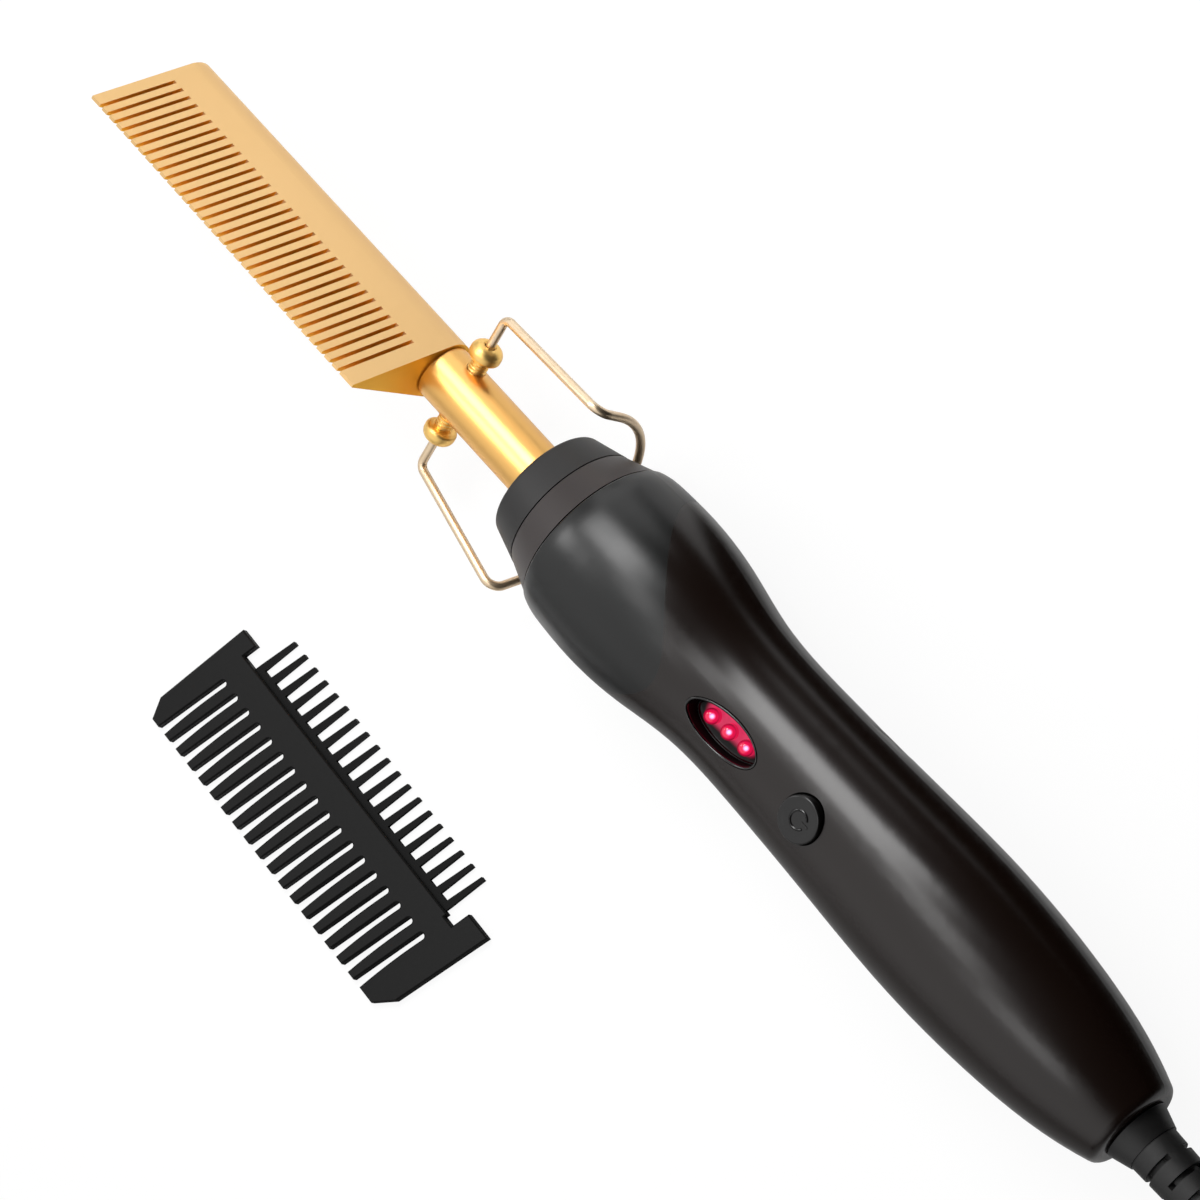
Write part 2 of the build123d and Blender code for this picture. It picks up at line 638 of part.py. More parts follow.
def plug_pin(side):
    pin = pin_rod(side, -PIN_L, PIN_BARE_L - PIN_L, PIN_R)
    tip = tail_points()[-1].X - PLUG_L - PIN_L
    pin = fillet(edges_at(pin, tip), PIN_R * 0.6)
    return pin + pin_rod(side, PIN_BARE_L - PIN_L - 1, PIN_SEAT, PIN_SHANK_R)


# ---- guard comb ----
def swept(points):
    return [(x + y * tan(radians(GUARD_SWEEP)), y) for x, y in points]


def guard_outline():
    half = GUARD_L / 2
    inner = half - GUARD_TAB_W
    fold = inner - GUARD_NOTCH
    low = half - GUARD_END_TAPER
    side = [(half, GUARD_TAB_OUT), (low, -GUARD_W + GUARD_CHAMFER), (low - GUARD_CHAMFER * 0.65, -GUARD_W)]
    notch = [(fold, 0), (fold, -GUARD_NOTCH_DEEP), (inner, -GUARD_NOTCH_DEEP), (inner, GUARD_TAB_OUT)]
    shallow = [(fold, 0), (inner, 0), (inner, GUARD_TAB_OUT)]
    right = [(GUARD_ROWS_AT + x, y) for x, y in notch] + side
    left = [(-x, y) for x, y in reversed(side)] + [(GUARD_ROWS_AT - x, y) for x, y in reversed(shallow)]
    return make_face(Polyline(*swept(right + left), close=True))


def wide_slot():
    """Rounded slot that widens to its mouth, its root's centre at the origin."""
    tip = WIDE_ROOT - GUARD_W - 1
    mouth = WIDE_MOUTH_W / 2
    root = WIDE_ROOT_W / 2
    middle = ((root + mouth) / 2 - WIDE_BOW, tip / 2)
    outline = Polyline((mouth, tip), (-mouth, tip), (-root, 0), (root, 0)) + ThreePointArc((root, 0), middle, (mouth, tip))
    return Rot(0, 0, -GUARD_SWEEP) * (make_face(outline) + Circle(root))


def guard_place():
    return Pos(GUARD_X, GUARD_Y, TABLE_Z) * Rot(0, 0, GUARD_YAW)


def eased_slab(face, thick):
    """Slab on the table with its upper edges chamfered."""
    slab = extrude(face, amount=thick)
    return chamfer(slab.faces().sort_by(Axis.Z)[-1].edges(), GUARD_EDGE)


def guard_plate():
    face = guard_outline()
    slot = wide_slot()
    count = 1 + int((GUARD_L - 2 * WIDE_END) / WIDE_PITCH)
    start = GUARD_ROWS_AT - (count - 1) / 2 * WIDE_PITCH
    for i in range(count):
        (x, y), = swept([(start + i * WIDE_PITCH, -WIDE_ROOT - WIDE_ROOT_W / 2)])
        face = face - Pos(x, y) * slot
    return guard_place() * eased_slab(face, GUARD_T)


def guard_fine():
    fold = GUARD_L / 2 - GUARD_TAB_W - GUARD_NOTCH
    reach = FINE_BAND + FINE_TOOTH_L
    root = FINE_ROOT_W / 2
    tip = FINE_TIP_W / 2
    count = int(2 * fold / FINE_PITCH)
    start = GUARD_ROWS_AT - (count - 1) / 2 * FINE_PITCH
    left = start - root
    right = start + (count - 1) * FINE_PITCH + root
    face = make_face(Polyline(*swept([(left, 0), (right, 0), (right, FINE_BAND), (left, FINE_BAND)]), close=True))
    for i in range(count):
        x = start + i * FINE_PITCH
        tooth = swept([(x - root, FINE_BAND - 0.1), (x + root, FINE_BAND - 0.1), (x + tip, reach), (x - tip, reach)])
        face = face + make_face(Polyline(*tooth, close=True))
    return guard_place() * extrude(face, amount=FINE_T)


# ---- nodes ----
def build():
    nodes = {}
    nodes["comb_head"] = HEAD_POSE * comb_head()
    nodes["barrel_tube"] = HEAD_POSE * barrel_tube()
    nodes["heater"] = HEAD_POSE * heater()
    nodes["pivot_screw_left"] = HEAD_POSE * pivot_screw(-1)
    nodes["pivot_screw_right"] = HEAD_POSE * pivot_screw(1)
    nodes["stand_wire"] = HEAD_POSE * stand_wire()
    nodes["nose_ring"] = nose_ring()
    nodes["collar_ring"] = collar_ring()
    nodes["insulator_disc"] = insulator_disc()
    nodes["grip_upper"] = GRIP_POSE * grip_upper()
    nodes["grip_lower"] = GRIP_POSE * grip_lower()
    for i, x in enumerate(SHELL_SCREW_XS):
        nodes["shell_screw_" + str(i + 1)] = GRIP_POSE * shell_screw(x)
    nodes["circuit_board"] = GRIP_POSE * circuit_board()
    for i, x in enumerate(BOARD_SCREW_XS):
        nodes["board_screw_" + str(i + 1)] = GRIP_POSE * board_screw(x)
    nodes["window_lens"] = GRIP_POSE * window_lens()
    for i in range(LED_COUNT):
        nodes["led_" + str(i + 1)] = GRIP_POSE * led(i)
    nodes["power_button"] = GRIP_POSE * power_button()
    nodes["tact_switch"] = GRIP_POSE * tact_switch()
    for side, name in ((-1, "a"), (1, "b")):
        nodes["heater_lead_" + name] = GRIP_POSE * heater_lead(side)
        nodes["mains_lead_" + name] = GRIP_POSE * mains_lead(side)
        nodes["plug_pin_" + name] = plug_pin(side)
    nodes["swivel_gland"] = swivel_gland()
    nodes["strain_boot"] = strain_boot()
    nodes["cable_anchor"] = cable_anchor()
    nodes["cord_lead"] = cord_lead()
    nodes["cord_coil"] = cord_coil()
    nodes["coil_tie"] = coil_tie()
    nodes["cord_tail"] = cord_tail()
    nodes["plug_body"] = plug_body()
    nodes["guard_plate"] = guard_plate()
    nodes["guard_fine"] = guard_fine()
    return nodes


os.makedirs("parts", exist_ok=True)
for node, shape in build().items():
    export_step(shape, "parts/" + node + ".step")
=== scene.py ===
import bmesh
import bpy
from math import atan2, cos, pi, radians, sin, sqrt
from mathutils import Matrix, Vector


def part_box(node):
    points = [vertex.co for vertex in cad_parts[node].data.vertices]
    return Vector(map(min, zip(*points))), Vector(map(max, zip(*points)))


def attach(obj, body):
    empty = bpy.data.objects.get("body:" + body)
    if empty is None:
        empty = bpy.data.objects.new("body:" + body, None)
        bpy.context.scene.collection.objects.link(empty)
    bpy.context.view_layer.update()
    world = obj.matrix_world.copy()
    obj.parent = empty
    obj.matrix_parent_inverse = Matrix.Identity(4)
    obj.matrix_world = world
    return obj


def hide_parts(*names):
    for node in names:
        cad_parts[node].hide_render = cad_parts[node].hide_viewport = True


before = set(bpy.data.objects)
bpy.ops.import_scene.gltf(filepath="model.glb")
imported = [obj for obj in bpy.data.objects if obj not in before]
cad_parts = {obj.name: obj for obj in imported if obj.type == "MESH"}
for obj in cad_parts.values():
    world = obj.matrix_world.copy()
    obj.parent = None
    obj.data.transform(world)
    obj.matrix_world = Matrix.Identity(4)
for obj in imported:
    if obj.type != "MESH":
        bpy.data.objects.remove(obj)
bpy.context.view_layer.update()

# ---- Studio ----
# The comb lies on a white table under three soft boxes, with a low white panel that faces its head and a
# small box close over the barrel. White card stands along the control side and nothing on the far side,
# and two black cards on the table keep the handle's flanks dark.
mm = 0.001
scene = bpy.context.scene
scene.view_settings.view_transform = "Standard"


def paint(code):
    """Linear colour of an sRGB hex code."""
    parts = [int(code[i:i + 2], 16) / 255 for i in (0, 2, 4)]
    return tuple(c / 12.92 if c <= 0.04045 else ((c + 0.055) / 1.055) ** 2.4 for c in parts) + (1.0,)


def add(tree, kind, feeds=None, **settings):
    """Adds a node; feeds maps its inputs to values or to other nodes' outputs."""
    made = tree.nodes.new(kind)
    for name, value in settings.items():
        setattr(made, name, value)
    for name, value in (feeds or {}).items():
        if isinstance(value, bpy.types.NodeSocket):
            tree.links.new(value, made.inputs[name])
        else:
            made.inputs[name].default_value = value
    return made


def new_material(name):
    """Empty node material; returns the material, its tree and its output node."""
    made = bpy.data.materials.new(name)
    made.use_nodes = True
    made.node_tree.nodes.clear()
    return made, made.node_tree, add(made.node_tree, "ShaderNodeOutputMaterial")


# A long lens, about 0.85 m away and above the tail of the handle.
CAMERA_LENS, CAMERA_SENSOR = 129.84, 36
CAMERA_PLACE = (0.3725, 0.1311, 0.7508)
CAMERA_AXES = ((0.61948, -0.68268, 0.38754), (0.68098, 0.71293, 0.16733), (-0.39052, 0.16025, 0.90654))
eye = bpy.data.objects.new("studio_camera", bpy.data.cameras.new("studio_camera"))
scene.collection.objects.link(eye)
eye.data.lens = CAMERA_LENS
eye.data.sensor_width = CAMERA_SENSOR
eye.data.clip_end = 20
eye.matrix_world = Matrix.Translation(CAMERA_PLACE) @ Matrix(CAMERA_AXES).to_4x4()
scene.camera = eye


def soft_box(name, place, aim, width, length, radiance):
    """Area lamp of an even radiance facing a point, its length along the comb."""
    lamp = bpy.data.lights.new(name, "AREA")
    lamp.shape = "RECTANGLE"
    lamp.size, lamp.size_y = length, width
    lamp.energy = 4 * width * length * radiance
    stand = bpy.data.objects.new(name, lamp)
    scene.collection.objects.link(stand)
    place, aim = Vector(place), Vector(aim)
    back = (place - aim).normalized()
    side = Vector((0, 1, 0)).cross(back).normalized() if abs(back.y) < 0.8 else Vector((1, 0, 0))
    up = back.cross(side)
    stand.matrix_world = Matrix.Translation(place) @ Matrix((side, up, back)).transposed().to_4x4()
    stand.visible_camera = False


soft_box("key_box", place=(-0.215, 0.235, 0.60), aim=(0.06, 0, 0), width=0.34, length=0.21, radiance=8.0)
soft_box("key_spill", place=(-0.02, 0.02, 0.62), aim=(0.10, 0, 0), width=0.22, length=0.16, radiance=2.6)
soft_box("tail_spill", place=(0.19, -0.17, 0.62), aim=(0.14, 0, 0), width=0.22, length=0.20, radiance=1.6)
soft_box("head_panel", place=(-0.25, 0.32, 0.16), aim=(-0.04, 0, 0.01), width=0.32, length=0.28,
         radiance=1.2)
soft_box("barrel_box", place=(-0.034, -0.030, 0.110), aim=(0.015, 0, 0.005), width=0.040, length=0.044,
         radiance=4.5)

# Room: white where the camera looks past the table. Its light comes from the control side, fades to
# almost none towards the far side, and is stronger from above than from the table's level.
FAR_SIDE = (0.42, 0.90, 0.0)
FADE_START, FADE_END = -0.42, 0.24
FAR_LEVEL, LOW_LEVEL = 0.02, 0.5
RISE_START, RISE_END = -0.1, 0.5
world = bpy.data.worlds.new("studio_world")
world.use_nodes = True
scene.world = world
tree = world.node_tree
tree.nodes.clear()
way = add(tree, "ShaderNodeTexCoord")
far = add(tree, "ShaderNodeVectorMath", {0: way.outputs["Generated"], 1: FAR_SIDE}, operation="DOT_PRODUCT")
fade = add(tree, "ShaderNodeMapRange", {
    "Value": far.outputs["Value"], "From Min": FADE_START, "From Max": FADE_END, "To Min": 1.0,
    "To Max": FAR_LEVEL}, interpolation_type="SMOOTHSTEP")
tall = add(tree, "ShaderNodeSeparateXYZ", {"Vector": way.outputs["Generated"]})
rise = add(tree, "ShaderNodeMapRange", {
    "Value": tall.outputs["Z"], "From Min": RISE_START, "From Max": RISE_END, "To Min": LOW_LEVEL,
    "To Max": 1.0}, interpolation_type="SMOOTHSTEP")
level = add(tree, "ShaderNodeMath", {0: fade.outputs["Result"], 1: rise.outputs["Result"]},
            operation="MULTIPLY")
room = add(tree, "ShaderNodeBackground", {"Color": paint("FFFFFF"), "Strength": level.outputs[0]})
seen = add(tree, "ShaderNodeBackground", {"Color": paint("FFFFFF"), "Strength": 1.0})
ray = add(tree, "ShaderNodeLightPath")
pick = add(tree, "ShaderNodeMixShader", {
    0: ray.outputs["Is Camera Ray"], 1: room.outputs[0], 2: seen.outputs[0]})
add(tree, "ShaderNodeOutputWorld", {"Surface": pick.outputs[0]})

# Table top: white matt laminate, so wide that its edge is far outside every view. It is blown out to
# white for the camera, with only a soft shade where things stand on it.
TABLE_R = 3.0
TABLE_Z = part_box("guard_plate")[0].z
table = bmesh.new()
bmesh.ops.create_circle(table, cap_ends=True, segments=64, radius=TABLE_R,
                        matrix=Matrix.Translation((0.1, 0, TABLE_Z)))
mesh = bpy.data.meshes.new("table_top")
table.to_mesh(mesh)
table.free()
table_top = bpy.data.objects.new("table_top", mesh)
scene.collection.objects.link(table_top)
laminate, tree, out = new_material("white_laminate")
where = add(tree, "ShaderNodeTexCoord")
spot = add(tree, "ShaderNodeSeparateXYZ", {"Vector": where.outputs["Object"]})
# The black cards lie on both sides of the handle. The camera sees the laminate in their place.
FAR_CARD, NEAR_CARD, CARD_START = (24, 44), (-18, -34), (32, 48)      # where each starts and is at its full
NEAR_CARD_LEVEL = 0.55                  # this side's card is a dark grey one
far_card = add(tree, "ShaderNodeMapRange", {
    "Value": spot.outputs["Y"], "From Min": FAR_CARD[0] * mm, "From Max": FAR_CARD[1] * mm},
    interpolation_type="SMOOTHSTEP")
near_card = add(tree, "ShaderNodeMapRange", {
    "Value": spot.outputs["Y"], "From Min": NEAR_CARD[0] * mm, "From Max": NEAR_CARD[1] * mm,
    "To Max": NEAR_CARD_LEVEL}, interpolation_type="SMOOTHSTEP")
beside = add(tree, "ShaderNodeMath", {0: far_card.outputs["Result"], 1: near_card.outputs["Result"]},
             operation="MAXIMUM")
along = add(tree, "ShaderNodeMapRange", {
    "Value": spot.outputs["X"], "From Min": CARD_START[0] * mm, "From Max": CARD_START[1] * mm},
    interpolation_type="SMOOTHSTEP")
cards = add(tree, "ShaderNodeMath", {0: beside.outputs[0], 1: along.outputs["Result"]},
            operation="MULTIPLY")
top = add(tree, "ShaderNodeMix", {"Factor": cards.outputs[0], "A": paint("E6E6E6"), "B": paint("0A0A0A")},
          data_type="RGBA")
matt = add(tree, "ShaderNodeBsdfDiffuse", {"Color": top.outputs["Result"]})
shade = add(tree, "ShaderNodeBsdfDiffuse", {"Color": paint("5E5E5E")})
glow = add(tree, "ShaderNodeEmission", {"Color": paint("FFFFFF"), "Strength": 0.90})
blown = add(tree, "ShaderNodeAddShader", {0: shade.outputs[0], 1: glow.outputs[0]})
ray = add(tree, "ShaderNodeLightPath")
either = add(tree, "ShaderNodeMath", {
    0: ray.outputs["Is Camera Ray"], 1: ray.outputs["Is Transmission Ray"]}, operation="MAXIMUM")
pick = add(tree, "ShaderNodeMixShader", {0: either.outputs[0], 1: matt.outputs[0], 2: blown.outputs[0]})
tree.links.new(pick.outputs[0], out.inputs["Surface"])
table_top.data.materials.append(laminate)


# ---- Heater cartridge and its leads ----
# A sintered alumina rod with the heating track inside, pushed up the bore of the comb head.
# Two silicone-sleeved leads run back from it through the barrel to the board.
def dress(material, *names):
    """Gives CAD nodes their finish."""
    for name in names:
        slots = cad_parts[name].data.materials
        if len(slots):
            slots[0] = material
        else:
            slots.append(material)


def grained(name, colour, rough, grain, detail=2.0, relief=None, **sockets):
    """Finish with one fine grain, of a size in millimetres; a pair of values is spread over the grain.

    A grain is drawn at the size it is given, so one too fine to show is given coarser than real. Relief is a
    bump's strength and its depth in millimetres. Other sockets are named with "_" for each space.
    """
    made, tree, out = new_material(name)
    where = add(tree, "ShaderNodeTexCoord")
    noise = add(tree, "ShaderNodeTexNoise", {
        "Vector": where.outputs["Object"], "Scale": 1 / (grain * mm), "Detail": detail})
    feeds = {socket.replace("_", " "): value for socket, value in sockets.items()}
    if isinstance(colour, tuple):
        tone = add(tree, "ShaderNodeMix", {
            "Factor": noise.outputs["Fac"], "A": paint(colour[0]), "B": paint(colour[1])}, data_type="RGBA")
        feeds["Base Color"] = tone.outputs["Result"]
    else:
        feeds["Base Color"] = paint(colour)
    if isinstance(rough, tuple):
        shine = add(tree, "ShaderNodeMapRange", {
            "Value": noise.outputs["Fac"], "To Min": rough[0], "To Max": rough[1]})
        feeds["Roughness"] = shine.outputs["Result"]
    else:
        feeds["Roughness"] = rough
    if relief:
        skin = add(tree, "ShaderNodeBump", {
            "Height": noise.outputs["Fac"], "Strength": relief[0], "Distance": relief[1] * mm})
        feeds["Normal"] = skin.outputs[0]
    face = add(tree, "ShaderNodeBsdfPrincipled", feeds)
    tree.links.new(face.outputs[0], out.inputs["Surface"])
    return made


# Sintered alumina: off-white, matt, with a faint mottle.
dress(grained("sintered_alumina", ("DAD6CC", "EFECE4"), 0.55, 0.62, 4.0, IOR=1.7), "heater")
# Extruded silicone: white, soft and half matt.
dress(grained("white_silicone_sleeve", "DEDCD6", (0.38, 0.5), 1.1, IOR=1.45),
      "heater_lead_a", "heater_lead_b")

# ---- Comb head ----
# A solid aluminium extrusion, sawn with 33 slots, bead blasted and gold anodised. It takes the heater in
# its spine's bore and ends in a spigot for the barrel.
BLAST_GRAIN, CLOUD = 0.38, 22           # the blasted dimples are drawn coarser than real, to show at all
BOUNCE_START, BOUNCE_FULL = 0.5, 0.8        # how squarely a face looks along the comb before it gets the painted bounce light
# Blasted and anodised: an even, matt champagne gold. Faces that look along the comb, in the slots and at the
# ends, are painted brighter and yellower, as painted bounce light.
head_gold, tree, out = new_material("gold_anodised_blasted_aluminium")
where = add(tree, "ShaderNodeTexCoord")
blast = add(tree, "ShaderNodeTexNoise", {
    "Vector": where.outputs["Object"], "Scale": 1 / (BLAST_GRAIN * mm), "Detail": 3.0})
cloud = add(tree, "ShaderNodeTexNoise", {
    "Vector": where.outputs["Object"], "Scale": 1 / (CLOUD * mm), "Detail": 4.0})
tone = add(tree, "ShaderNodeMix", {
    "Factor": cloud.outputs["Fac"], "A": paint("EDC487"), "B": paint("F1CB92")}, data_type="RGBA")
facing = add(tree, "ShaderNodeNewGeometry")
parts = add(tree, "ShaderNodeSeparateXYZ", {"Vector": facing.outputs["Normal"]})
square = add(tree, "ShaderNodeMath", {0: parts.outputs["X"]}, operation="ABSOLUTE")
# Painted bounce light: faces that look along the comb, in the slots and at the ends, are painted brighter
# and yellower.
painted_bounce = add(tree, "ShaderNodeMapRange", {
    "Value": square.outputs[0], "From Min": BOUNCE_START, "From Max": BOUNCE_FULL})
tone = add(tree, "ShaderNodeMix", {
    "Factor": painted_bounce.outputs["Result"], "A": tone.outputs["Result"], "B": paint("FFC74A")}, data_type="RGBA")
shine = add(tree, "ShaderNodeMapRange", {"Value": cloud.outputs["Fac"], "To Min": 0.44, "To Max": 0.54})
skin = add(tree, "ShaderNodeBump", {
    "Height": blast.outputs["Fac"], "Strength": 0.25, "Distance": 0.03 * mm})
face = add(tree, "ShaderNodeBsdfPrincipled", {
    "Base Color": tone.outputs["Result"], "Metallic": 1.0, "Roughness": shine.outputs["Result"],
    "Normal": skin.outputs[0]})
tree.links.new(face.outputs[0], out.inputs["Surface"])
dress(head_gold, "comb_head")

# ---- Barrel ----
# A drawn aluminium tube, gold anodised like the head, pressed over the head's spigot
# at one end and into the collar at the other.
DRAW_LENGTH, DRAW_WIDTH = 17, 1.1       # marks of drawing, wider than real ones so that they show
# Drawn and anodised: a satin gold with a long highlight, broken by faint marks along the tube.
barrel_gold, tree, out = new_material("gold_anodised_satin_tube")
where = add(tree, "ShaderNodeTexCoord")
draw = add(tree, "ShaderNodeMapping", {
    "Vector": where.outputs["Object"],
    "Scale": (1 / (DRAW_LENGTH * mm), 1 / (DRAW_WIDTH * mm), 1 / (DRAW_WIDTH * mm))})
marks = add(tree, "ShaderNodeTexNoise", {"Vector": draw.outputs[0], "Scale": 1.0, "Detail": 2.0})
shine = add(tree, "ShaderNodeMapRange", {"Value": marks.outputs["Fac"], "To Min": 0.31, "To Max": 0.36})
face = add(tree, "ShaderNodeBsdfPrincipled", {
    "Base Color": paint("EFBB6E"), "Metallic": 1.0, "Roughness": shine.outputs["Result"]})
tree.links.new(face.outputs[0], out.inputs["Surface"])
dress(barrel_gold, "barrel_tube")


# ---- Pivot screws ----
# Two turned brass machine screws, gold plated, in the barrel's sides: a bright thread, then a rounded
# pan head that is drilled from above for the wire's end.
def make_piece(name, form, material, body, slot, *stands_for, sharp=35):
    """Finished piece from a bmesh, smooth but for edges that turn by more than an angle."""
    for side in form.faces:
        side.smooth = True
    for line in form.edges:
        line.smooth = line.is_manifold and line.calc_face_angle(0) < radians(sharp)
    made = bpy.data.meshes.new(name)
    form.to_mesh(made)
    form.free()
    made.materials.append(material)
    piece = bpy.data.objects.new(name, made)
    scene.collection.objects.link(piece)
    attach(piece, body)
    if stands_for:
        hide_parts(*stands_for)
    return piece


def lathe(form, profile, steps=64):
    """Spins (radius, height) points, in millimetres, once round the local Z axis."""
    points = [form.verts.new((r * mm, 0, h * mm)) for r, h in profile]
    lines = [form.edges.new(pair) for pair in zip(points, points[1:])]
    bmesh.ops.spin(form, geom=points + lines, cent=(0, 0, 0), axis=(0, 0, 1), angle=2 * pi, steps=steps,
                   use_merge=True)
    bmesh.ops.remove_doubles(form, verts=form.verts, dist=1e-7)


def arc(x, y, r, start, end, steps=8):
    """Points of an arc, angles in degrees."""
    return [(x + r * cos(radians(start + (end - start) * i / steps)),
             y + r * sin(radians(start + (end - start) * i / steps))) for i in range(steps + 1)]


SCREW_ROLL = radians(25)                # the screws' axis, turned about the barrel's
NECK_IN, NECK_OUT, SCREW_TOP = 3.5, 9.0, 12.4      # thread's ends and head's top, from the barrel's axis
THREAD_R, THREAD_CORE_R, THREAD_PITCH, THREAD_TIP_R = 2.0, 1.78, 0.75, 1.5
THREAD_STEPS = 32
PAN_R, PAN_UNDER_ROUND, PAN_TOP_ROUND = 3.4, 0.9, 1.9
WIRE_HOLE_R, WIRE_HOLE_DEPTH = 1.08, 3.1
THREAD_SECTION = ((0.3, 0), (0.03, 0.24), (0.03, 0.32), (0.3, 0.56))     # in from the crest, and up
# Polished and plated brass: a bright yellow gold that wear has left slightly soft.
screw_gold = grained("gold_plated_polished_brass", "FCD07C", (0.34, 0.42), 2.0, 3.0, Metallic=1.0)
for name, side in (("pivot_screw_left", -1), ("pivot_screw_right", 1)):
    screw = bmesh.new()
    lathe(screw, [(0, NECK_IN), (THREAD_TIP_R, NECK_IN), (THREAD_CORE_R, NECK_IN + 0.3),
                  (THREAD_CORE_R, NECK_OUT)]
          + arc(PAN_R - PAN_UNDER_ROUND, NECK_OUT + PAN_UNDER_ROUND, PAN_UNDER_ROUND, -85, 0)
          + arc(PAN_R - PAN_TOP_ROUND, SCREW_TOP - PAN_TOP_ROUND, PAN_TOP_ROUND, 0, 80, 12)
          + [(WIRE_HOLE_R + 0.3, SCREW_TOP - 0.03), (WIRE_HOLE_R, SCREW_TOP - 0.35),
             (WIRE_HOLE_R, SCREW_TOP - WIRE_HOLE_DEPTH), (0, SCREW_TOP - WIRE_HOLE_DEPTH)])
    start = NECK_IN + 0.4
    ridge = [screw.verts.new(((THREAD_R - low) * mm, 0, (start + up) * mm)) for low, up in THREAD_SECTION]
    tooth = screw.faces.new(ridge)
    threads = int((NECK_OUT - start - 0.5) / THREAD_PITCH)
    bmesh.ops.spin(screw, geom=ridge + list(tooth.edges) + [tooth], cent=(0, 0, 0), axis=(0, 0, 1),
                   dvec=(0, 0, THREAD_PITCH * mm / THREAD_STEPS), angle=2 * pi * threads,
                   steps=THREAD_STEPS * threads)
    bmesh.ops.recalc_face_normals(screw, faces=screw.faces)
    axis = Vector((0, side * cos(SCREW_ROLL), side * sin(SCREW_ROLL)))
    across = axis.cross(Vector((1, 0, 0)))
    screw.transform(Matrix(((1, across.x, axis.x), (0, across.y, axis.y), (0, across.z, axis.z))).to_4x4())
    make_piece(name + "_turned", screw, screw_gold, "comb", "screw_gold", name)

# ---- Wire stand ----
# One length of 1.9 mm brass-plated spring wire, bent to a bail on a jig.
# Its two ends are sprung into the screw heads, where they turn.
# Brass plate over drawn steel: a pale, pinkish gold with a soft shine.
dress(grained("brass_plated_spring_wire", ("DFC5A2", "EED9BC"), 0.38, 3.8, 4.0, Metallic=1.0), "stand_wire")

# ---- Collar ----
# Two turned rings of glass-filled nylon that keep the heat off the handle, with a fine step between them,
# on a mica-board disc inside the handle's mouth.
FIBRE = 0.67                            # glass fibres' marks, drawn coarser than real ones
# Glass-filled nylon, turned: near black and satin, the second ring browner and a little smoother. The
# mica board is a dull straw colour.
for name, shade, rough, node in (("glass_filled_nylon_dark", "100E0E", 0.50, "nose_ring"),
                                 ("glass_filled_nylon_brown", "2A2322", 0.42, "collar_ring"),
                                 ("mica_board", "B7A98C", 0.5, "insulator_disc")):
    dress(grained(name, shade, rough, FIBRE, 4.0, (0.2, 0.03), IOR=1.53), node)

# ---- Handle shells ----
# Two halves of moulded black ABS, screwed together from below by three zinc-plated screws. The front,
# behind the collar, is masked off on a slanted, tongue-shaped line before the rest is polished.
MASK_LEAN = radians(27)                 # the line's tip, turned from the top towards the control side
MASK_X, MASK_SWING, MASK_TONGUE = 54.3, 10.0, 12.5
MASK_BLUR = 0.2
MOULD_GRAIN = 0.55                      # the mould's grain, drawn coarser than the real one
# Polished ABS is black with a warm cast and long sharp highlights; the masked cap is charcoal and softer.
handle_abs, tree, out = new_material("black_abs_two_finishes")
where = add(tree, "ShaderNodeTexCoord")
split = add(tree, "ShaderNodeSeparateXYZ", {"Vector": where.outputs["Object"]})
aside = add(tree, "ShaderNodeMath", {0: split.outputs["Y"], 1: -sin(MASK_LEAN)}, operation="MULTIPLY")
up = add(tree, "ShaderNodeMath", {0: split.outputs["Z"], 1: cos(MASK_LEAN), 2: aside.outputs[0]},
         operation="MULTIPLY_ADD")
flat = add(tree, "ShaderNodeCombineXYZ", {"Y": split.outputs["Y"], "Z": split.outputs["Z"]})
radius = add(tree, "ShaderNodeVectorMath", {0: flat.outputs[0]}, operation="LENGTH")
round_to = add(tree, "ShaderNodeMath", {0: up.outputs[0], 1: radius.outputs["Value"]}, operation="DIVIDE")
swing = add(tree, "ShaderNodeMath", {0: round_to.outputs[0], 1: MASK_TONGUE * mm, 2: MASK_SWING * mm},
            operation="MULTIPLY_ADD")
edge = add(tree, "ShaderNodeMath", {0: round_to.outputs[0], 1: swing.outputs[0], 2: MASK_X * mm},
           operation="MULTIPLY_ADD")
past = add(tree, "ShaderNodeMath", {0: split.outputs["X"], 1: edge.outputs[0]}, operation="SUBTRACT")
body = add(tree, "ShaderNodeMapRange", {
    "Value": past.outputs[0], "From Min": -MASK_BLUR * mm, "From Max": MASK_BLUR * mm})
fine = add(tree, "ShaderNodeTexNoise", {
    "Vector": where.outputs["Object"], "Scale": 1 / (MOULD_GRAIN * mm), "Detail": 3.0})
tone = add(tree, "ShaderNodeMix", {
    "Factor": body.outputs["Result"], "A": paint("070808"), "B": paint("130905")}, data_type="RGBA")
shine = add(tree, "ShaderNodeMix", {"Factor": body.outputs["Result"], "A": 0.31, "B": 0.25},
            data_type="FLOAT")
skin = add(tree, "ShaderNodeBump", {
    "Height": fine.outputs["Fac"], "Strength": 0.05, "Distance": 0.02 * mm})
face = add(tree, "ShaderNodeBsdfPrincipled", {
    "Base Color": tone.outputs["Result"], "IOR": 1.5, "Roughness": shine.outputs["Result"],
    "Normal": skin.outputs[0]})
tree.links.new(face.outputs[0], out.inputs["Surface"])
dress(handle_abs, "grip_upper", "grip_lower")
# Zinc-plated steel: grey-white and bright, dulled in patches.
dress(grained("zinc_plated_steel", "C3C5C8", (0.25, 0.42), 1.4, 3.0, Metallic=1.0),
      "shell_screw_1", "shell_screw_2", "shell_screw_3", "board_screw_1", "board_screw_2")

# ---- Control board ----
# A glass-epoxy board on two posts under the control row, held by two screws. It carries the three red
# LEDs and a tact switch in a moulded case.
# Solder mask over woven glass: deep green and half glossy, with a trace of the weave.
dress(grained("green_glass_epoxy_board", ("123D22", "1D5430"), 0.35, 0.83, IOR=1.55), "circuit_board")
